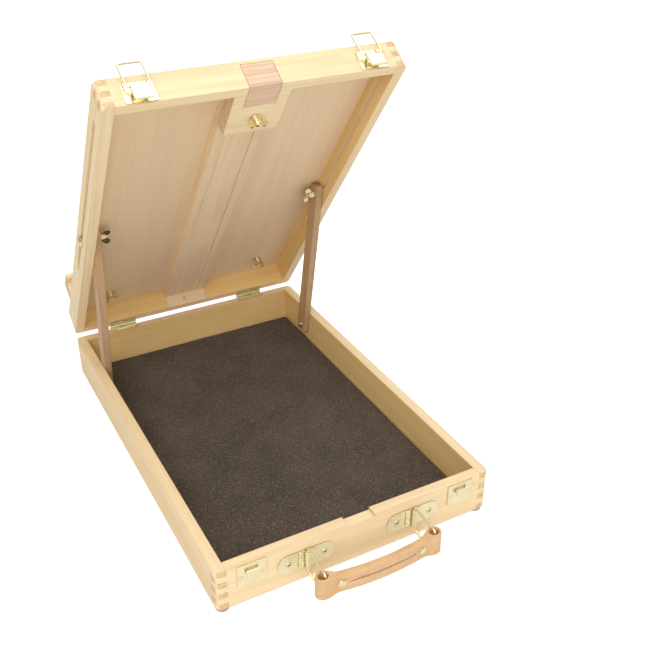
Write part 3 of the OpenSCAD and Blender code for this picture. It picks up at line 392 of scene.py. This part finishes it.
give(["strike_plate_left", "strike_plate_right", "handle_plate_left", "handle_plate_right",
      "tray_hinge_leaf_left", "tray_hinge_leaf_right", "lid_hinge_leaf_left",
      "lid_hinge_leaf_right", "latch_plate_left", "latch_plate_right", "latch_lever_left",
      "latch_lever_right"], brass("brass_sheet", (0.90, 0.82, 0.56), 0.2))
give(["latch_loop_left", "latch_loop_right", "handle_ring_left", "handle_ring_right",
      "hinge_pins", "latch_pins"], brass("brass_wire", (0.88, 0.79, 0.52), 0.14, seed=4.0))
give(["strike_screws", "handle_plate_screws", "tray_hinge_screws", "lid_hinge_screws",
      "latch_screws", "stop_block_nail", "ledge_bolts", "mast_clamp_bolt",
      "ledge_wing_nut_left", "ledge_wing_nut_right", "slot_bolt_left", "slot_bolt_right",
      "strut_foot_screw_left", "strut_foot_screw_right", "strut_wing_nut_left",
      "strut_wing_nut_right", "handle_rivets"],
     brass("brass_cast", (0.86, 0.76, 0.48), 0.18, seed=7.0))
FOAM = foam("foam_dark")
LEATHER = leather("leather_tan", (0.80, 0.53, 0.29), (0.74, 0.45, 0.22), (0.42, 0.20, 0.08))
give(["foam_mat"], FOAM)
give(["handle_grip"], LEATHER)


# ---------------------------------------------------------------- pieces

def piece(name, bm, material, body, flat=()):
    """Makes an object of bm that rides on a body, and smooths all but the flat faces."""
    for face in bm.faces:
        face.smooth = face not in flat
    bmesh.ops.recalc_face_normals(bm, faces=bm.faces)
    mesh = bpy.data.meshes.new(name)
    bm.to_mesh(mesh)
    bm.free()
    mesh.materials.append(material)
    obj = bpy.data.objects.new(name, mesh)
    scene.collection.objects.link(obj)
    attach(obj, body)
    return obj


def join_rings(bm, lower, upper):
    """Faces between two closed rings of as many vertices."""
    count = len(lower)
    for k in range(count):
        after = (k + 1) % count
        bm.faces.new((lower[k], lower[after], upper[after], upper[k]))


def smoothstep(value, low, high):
    """0 at low and 1 at high, with an even start and end. low may be the greater."""
    t = min(1.0, max(0.0, (value - low) / (high - low)))
    return t * t * (3 - 2 * t)


def curve_value(points, t):
    """Linear value at t of a list of (t, value) points."""
    for (t0, v0), (t1, v1) in zip(points, points[1:]):
        if t <= t1:
            return v0 + (v1 - v0) * (t - t0) / (t1 - t0)
    return points[-1][1]


def add_foam():
    """Mat of open-cell foam: cut a little unevenly, with rounded edges and a gently uneven top."""
    low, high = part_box("foam_mat")
    nx, ny = 72, 108
    edge = 0.0016
    top_drop = 0.0002
    bm = bmesh.new()
    rows = []
    # How far each level stands in from the side, and its share of the height, upwards
    levels = [(-0.0004, 0.0), (0.0, 0.35), (0.0, 0.6), (0.0005, 0.85), (0.0011, 0.97)]
    middle = (low + high) / 2
    for j in range(ny + 1):
        row = []
        for i in range(nx + 1):
            u, v = i / nx * 2 - 1, j / ny * 2 - 1
            x = middle.x + u * ((high.x - low.x) / 2 - edge)
            y = middle.y + v * ((high.y - low.y) / 2 - edge)
            ripple = noise.noise(Vector((x * 28, y * 28, 0.3))) * 0.00022
            grit = noise.noise(Vector((x * 190, y * 190, 1.7))) * 0.00010
            row.append(bm.verts.new((x, y, high.z - top_drop + ripple + grit)))
        rows.append(row)
    for j in range(ny):
        for i in range(nx):
            bm.faces.new((rows[j][i], rows[j][i + 1], rows[j + 1][i + 1], rows[j + 1][i]))
    loop = ([rows[0][i] for i in range(nx)] + [rows[j][nx] for j in range(ny)]
            + [rows[ny][i] for i in range(nx, 0, -1)] + [rows[j][0] for j in range(ny, 0, -1)])
    inner = loop
    for out, drop in reversed(levels):
        ring = []
        for vert in loop:
            x, y = vert.co.x, vert.co.y
            away = Vector((0.0, 0.0, 0.0))
            for axis in (0, 1):
                span = (high[axis] - low[axis]) / 2 - edge
                if abs(vert.co[axis] - middle[axis]) > span - 1e-6:
                    away[axis] = math.copysign(1.0, vert.co[axis] - middle[axis])
            away.normalize()
            wave = noise.noise(Vector((x * 60, y * 60, 5.1))) * 0.0003
            reach = edge - 0.0003 - out + wave
            ring.append(bm.verts.new((x + away.x * reach, y + away.y * reach,
                                      low.z + drop * (vert.co.z - low.z))))
        for k in range(len(loop)):
            bm.faces.new((inner[k], ring[k], ring[(k + 1) % len(loop)], inner[(k + 1) % len(loop)]))
        inner = ring
    mat = piece("foam_pad", bm, FOAM, "tray")
    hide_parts("foam_mat")


# The grip's plan, as in the solids
FOLD_R = 0.00635
LEATHER_T = 0.0022
GRIP_T = 0.007
GRIP_BOW = 0.006
GRIP_H = 0.0195
FOLD_H = 0.0225
GROOVE_END = 0.034

# Half turns of the folds, their openings, and the stitches to each side of the middle
FOLD_STEPS = 18
HOLE_TURNS = 40
STITCHES = 10
STITCH_PITCH = 0.0031
STITCH_SIZE = 0.001
STITCH_SHAPE = (1.25, 0.34, 0.36, 1.0)
STITCH_DEPTH = 0.00052
STITCH_SLANT = math.radians(7)

# The feet's distance from the tray's sides, and the steps round them
FOOT_INSET = 0.0072
FOOT_TURNS = 40


def add_grip():
    """Arched leather strap with hollow folds at both ends, grooved and stitched on its faces."""
    low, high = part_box("handle_grip")
    mid_x, mid_z = (low.x + high.x) / 2, (low.z + high.z) / 2
    fold_x = (high.x - low.x) / 2 - FOLD_R
    fold_y = high.y - FOLD_R
    radius = (fold_x ** 2 + GRIP_BOW ** 2) / (2 * GRIP_BOW)
    arc_y = fold_y - GRIP_BOW + radius
    reach = radius * math.asin(fold_x / radius)

    def frame_at(s):
        """The middle line at length s from its middle: point, outward side and direction."""
        turn = s / radius
        out = Vector((math.sin(turn), -math.cos(turn)))
        return Vector((mid_x, arc_y)) + out * radius, out, Vector((math.cos(turn), math.sin(turn)))

    def half_width(s):
        widening = smoothstep(abs(s), reach - 0.0125, reach - 0.0005)
        return GRIP_T / 2 + (FOLD_R - GRIP_T / 2) * widening

    contour = []
    steps = 110
    for k in range(steps + 1):
        s = -reach + 2 * reach * k / steps
        place, out, _ = frame_at(s)
        contour.append((place + out * half_width(s), out, s))
    for end in (1, -1):
        place, out, along = frame_at(end * reach)
        if end == -1:
            for k in range(1, steps):
                s = reach - 2 * reach * k / steps
                spot, side, _ = frame_at(s)
                contour.append((spot - side * half_width(s), -side, s))
            contour.append((place - out * FOLD_R, -out, -reach))
        for k in range(1, FOLD_STEPS if end == -1 else FOLD_STEPS + 1):
            turn = math.pi * k / FOLD_STEPS
            normal = (out * math.cos(turn) + along * math.sin(turn)) * end
            contour.append((place + normal * FOLD_R, normal, end * reach))

    # Inset in mm from the foot of a face to its middle, for the strap and for the folds
    body_profile = [(-1.0, 1.6), (-0.99, 1.0), (-0.955, 0.4), (-0.88, 0.05), (-0.7, -0.2),
                    (-0.45, -0.15), (-0.2, 0.0), (-0.10, 0.2), (-0.055, 0.6), (-0.03, 0.85),
                    (0.0, 0.9)]
    fold_profile = [(-1.0, 0.7), (-0.985, 0.3), (-0.95, 0.06), (-0.9, 0.0), (0.0, 0.0)]
    levels = [t for t, _ in body_profile]
    levels = levels + [-t for t in reversed(levels[:-1])]
    bm = bmesh.new()
    rings = []
    for t in levels:
        ring = []
        for place, normal, s in contour:
            fold = smoothstep(abs(s), reach - 0.016, reach - 0.005)
            groove = smoothstep(abs(s), GROOVE_END + 0.001, GROOVE_END - 0.001)
            inset = curve_value(body_profile, -abs(t))
            if abs(t) < 0.2:
                inset *= groove
            inset = inset * (1 - fold) + curve_value(fold_profile, -abs(t)) * fold
            # The leather spreads a little at the foot of the folds
            inset -= 0.35 * fold * smoothstep(t, -0.2, -1.0)
            inset += 0.12 * noise.noise(Vector((place.x * 160, place.y * 160, t * 3)))
            height = GRIP_H + (FOLD_H - GRIP_H) * fold
            spot = place - normal * inset * 0.001
            wave = 0.00018 * noise.noise(Vector((place.x * 90, place.y * 90, 2.0)))
            ring.append(bm.verts.new((spot.x, spot.y, mid_z + t * height / 2 + wave * abs(t))))
        rings.append(ring)
    count = len(contour)
    for lower, upper in zip(rings, rings[1:]):
        join_rings(bm, lower, upper)
    hole_r = FOLD_R - LEATHER_T
    caps = []
    edges = {side: [bm.edges.get((rim[k], rim[(k + 1) % count])) for k in range(count)]
             for side, rim in ((-1, rings[0]), (1, rings[-1]))}
    for end in (-1, 1):
        place, out, along = frame_at(end * reach)
        last = None
        # Height as a share, and how much the opening's rim grows in mm
        for z, grow in ((-1.0, 0.55), (-0.975, 0.2), (-0.93, 0.0),
                        (0.93, 0.0), (0.975, 0.2), (1.0, 0.55)):
            ring = []
            for k in range(HOLE_TURNS):
                turn = 2 * math.pi * k / HOLE_TURNS
                # A little drawn out towards the strap
                point = max(0.0, -math.cos(turn)) ** 3 * 0.0011
                spread = hole_r + grow * 0.001 + point
                spot = place + (along * end * math.cos(turn) + out * math.sin(turn)) * spread
                ring.append(bm.verts.new((spot.x, spot.y, mid_z + z * FOLD_H / 2)))
            if last:
                join_rings(bm, last, ring)
            if z in (-1.0, 1.0):
                for k in range(HOLE_TURNS):
                    pair = (ring[k], ring[(k + 1) % HOLE_TURNS])
                    edges[int(z)].append(bm.edges.get(pair) or bm.edges.new(pair))
            last = ring
    for cap_edges in edges.values():
        made = bmesh.ops.triangle_fill(bm, use_beauty=True, use_dissolve=False,
                                       edges=cap_edges)
        caps += [g for g in made["geom"] if isinstance(g, bmesh.types.BMFace)]
    grip = piece("leather_grip", bm, LEATHER, "handle_grip", set(caps))
    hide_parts("handle_grip")

    # Stitches in the grooves of both faces
    bm = bmesh.new()
    for face in (-1, 1):
        for k in range(-STITCHES, STITCHES + 1):
            place, out, along = frame_at(k * STITCH_PITCH)
            spot = place + out * face * (GRIP_T / 2 - STITCH_DEPTH)
            axes = Matrix(((*along, 0.0), (*out, 0.0), (0.0, 0.0, 1.0)))
            shape = (Matrix.Translation((spot.x, spot.y, mid_z)) @ axes.transposed().to_4x4()
                     @ Matrix.Rotation(STITCH_SLANT * face, 4, "Y") @ Matrix.Diagonal(STITCH_SHAPE))
            bmesh.ops.create_icosphere(bm, subdivisions=2, radius=STITCH_SIZE, matrix=shape)
    piece("grip_stitches", bm, thread("waxed_thread", (0.30, 0.15, 0.06)), "handle_grip")


def add_feet():
    """Moulded rubber feet with a rounded lower rim and the recess of their nails."""
    bm = bmesh.new()
    top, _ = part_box("tray_bottom_panel")
    outer_low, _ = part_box("tray_left_board")
    _, outer_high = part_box("tray_right_board")
    # Radius and height along a foot's profile, from the nail's recess outwards and up
    profile = [(0.0004, 0.0012), (0.0014, 0.0012), (0.0017, 0.0), (0.0046, 0.0),
               (0.0055, 0.0003), (0.0061, 0.0009), (0.0064, 0.0018), (0.0065, 0.0030),
               (0.0064, top.z - 0.0002), (0.0059, top.z)]
    turns = [2 * math.pi * k / FOOT_TURNS for k in range(FOOT_TURNS)]
    for x in (outer_low.x + FOOT_INSET, outer_high.x - FOOT_INSET):
        for y in (outer_low.y + FOOT_INSET, outer_high.y - FOOT_INSET):
            last = None
            for r, z in profile:
                ring = [bm.verts.new((x + r * math.cos(turn), y + r * math.sin(turn), z))
                        for turn in turns]
                if last:
                    join_rings(bm, last, ring)
                else:
                    bm.faces.new(ring)
                last = ring
            bm.faces.new(list(reversed(last)))
    material = rubber("foot_rubber", (0.62, 0.42, 0.34), (0.20, 0.15, 0.15))
    feet = piece("rubber_feet", bm, material, "tray")
    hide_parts("feet")


add_foam()
add_grip()
add_feet()

for node in nodes.values():
    for polygon in node.data.polygons:
        polygon.use_smooth = True


# ---------------------------------------------------------------- studio

# Lamps: name, place, what they point at, size, power and colour
LAMPS = (
    ("key", (-1.3, -1.2, 1.7), (0, 0, 0.1), (1.2, 1.2), 21.0, (1.0, 0.98, 0.95)),
    ("top", (0.2, -0.1, 2.2), (0, 0, 0.0), (1.6, 1.6), 15.0, (1.0, 1.0, 1.0)),
    ("front", (-0.5, -2.1, 0.55), (0, 0, 0.25), (1.0, 0.7), 9.0, (1.0, 1.0, 1.0)),
    ("fill", (1.6, -0.9, 0.9), (0, 0, 0.15), (1.0, 1.0), 4.5, (1.0, 1.0, 1.0)),
)

FLOOR_HALF = 6.0
FLOOR_GLOW = 0.62
# Strength of the surroundings as light, as background, and as low and high reflections
AMBIENT = 0.48
BACKDROP = 1.0
REFLECTED_LOW = 0.28
REFLECTED_HIGH = 1.05

# The photo's camera, solved from the box's edges: axes, place, and focal length in pixels
CAMERA_RIGHT = Vector((0.88010780, -0.47477389, 0.00011519))
CAMERA_DOWN = Vector((-0.24078583, -0.44656364, -0.86174422))
CAMERA_AHEAD = Vector((0.40918509, 0.75840007, -0.50734297))
CAMERA_PLACE = (-0.31458190, -0.72844431, 0.60282463)
FOCAL_PIXELS = 904.5
PHOTO_PIXELS = 650.0
SENSOR_MM = 36.0


def add_floor():
    """Pale paper that stays white to the camera and keeps the box's shadow."""
    half = FLOOR_HALF
    mesh = bpy.data.meshes.new("floor")
    mesh.from_pydata([(-half, -half, 0), (half, -half, 0), (half, half, 0), (-half, half, 0)],
                     [], [(0, 1, 2, 3)])
    floor = bpy.data.objects.new("floor", mesh)
    scene.collection.objects.link(floor)
    n = Nodes("floor_paper")
    n.bsdf.inputs["Base Color"].default_value = (0.86, 0.86, 0.86, 1.0)
    n.bsdf.inputs["Roughness"].default_value = 0.95
    n.bsdf.inputs["Specular IOR Level"].default_value = 0.0
    path = n.add("LightPath")
    glow = n.add("Emission")
    seen = path.outputs["Is Camera Ray"]
    n.put(glow.inputs["Strength"], n.math("MULTIPLY", seen, FLOOR_GLOW))
    both = n.add("AddShader")
    n.put(both.inputs[0], n.bsdf.outputs[0])
    n.put(both.inputs[1], glow.outputs[0])
    n.put(n.tree.nodes["Material Output"].inputs["Surface"], both.outputs[0])
    mesh.materials.append(n.mat)


def add_world():
    """White surroundings. Reflections see them bright overhead and dim at the sides."""
    world = bpy.data.worlds.new("studio")
    scene.world = world
    world.use_nodes = True
    tree = world.node_tree
    background = tree.nodes["Background"]
    path = tree.nodes.new("ShaderNodeLightPath")

    def choose(factor, low, high):
        """low where factor is 0, high where it is 1; each a value or a socket."""
        node = tree.nodes.new("ShaderNodeMix")
        for key, value in (("Factor", factor), ("A", low), ("B", high)):
            if isinstance(value, bpy.types.NodeSocket):
                tree.links.new(value, node.inputs[key])
            else:
                node.inputs[key].default_value = value
        return node.outputs["Result"]

    way = tree.nodes.new("ShaderNodeTexCoord")
    split = tree.nodes.new("ShaderNodeSeparateXYZ")
    tree.links.new(way.outputs["Generated"], split.inputs[0])
    height = tree.nodes.new("ShaderNodeMapRange")
    height.interpolation_type = "SMOOTHSTEP"
    for key, value in (("From Min", 0.05), ("From Max", 0.60),
                       ("To Min", REFLECTED_LOW), ("To Max", REFLECTED_HIGH)):
        height.inputs[key].default_value = value
    tree.links.new(split.outputs[2], height.inputs[0])
    level = choose(path.outputs["Is Glossy Ray"], AMBIENT, height.outputs[0])
    level = choose(path.outputs["Is Camera Ray"], level, BACKDROP)
    tree.links.new(level, background.inputs["Strength"])
    background.inputs["Color"].default_value = (1.0, 0.99, 0.97, 1.0)


def add_lamps():
    for name, place, target, size, power, colour in LAMPS:
        light = bpy.data.lights.new(name, "AREA")
        light.shape = "RECTANGLE"
        light.size, light.size_y = size
        light.energy = power
        light.color = colour
        lamp = bpy.data.objects.new(name, light)
        lamp.location = place
        lamp.rotation_mode = "QUATERNION"
        lamp.rotation_quaternion = (Vector(target) - Vector(place)).to_track_quat("-Z", "Y")
        scene.collection.objects.link(lamp)


def add_camera():
    lens = bpy.data.cameras.new("camera")
    lens.sensor_width = SENSOR_MM
    lens.lens = FOCAL_PIXELS * SENSOR_MM / PHOTO_PIXELS
    lens.clip_start = 0.05
    lens.clip_end = 20.0
    camera = bpy.data.objects.new("camera", lens)
    scene.collection.objects.link(camera)
    axes = Matrix((CAMERA_RIGHT, -CAMERA_DOWN, -CAMERA_AHEAD)).transposed().to_4x4()
    camera.matrix_world = Matrix.Translation(CAMERA_PLACE) @ axes
    scene.camera = camera


add_floor()
add_world()
add_lamps()
add_camera()
scene.view_settings.view_transform = "Standard"
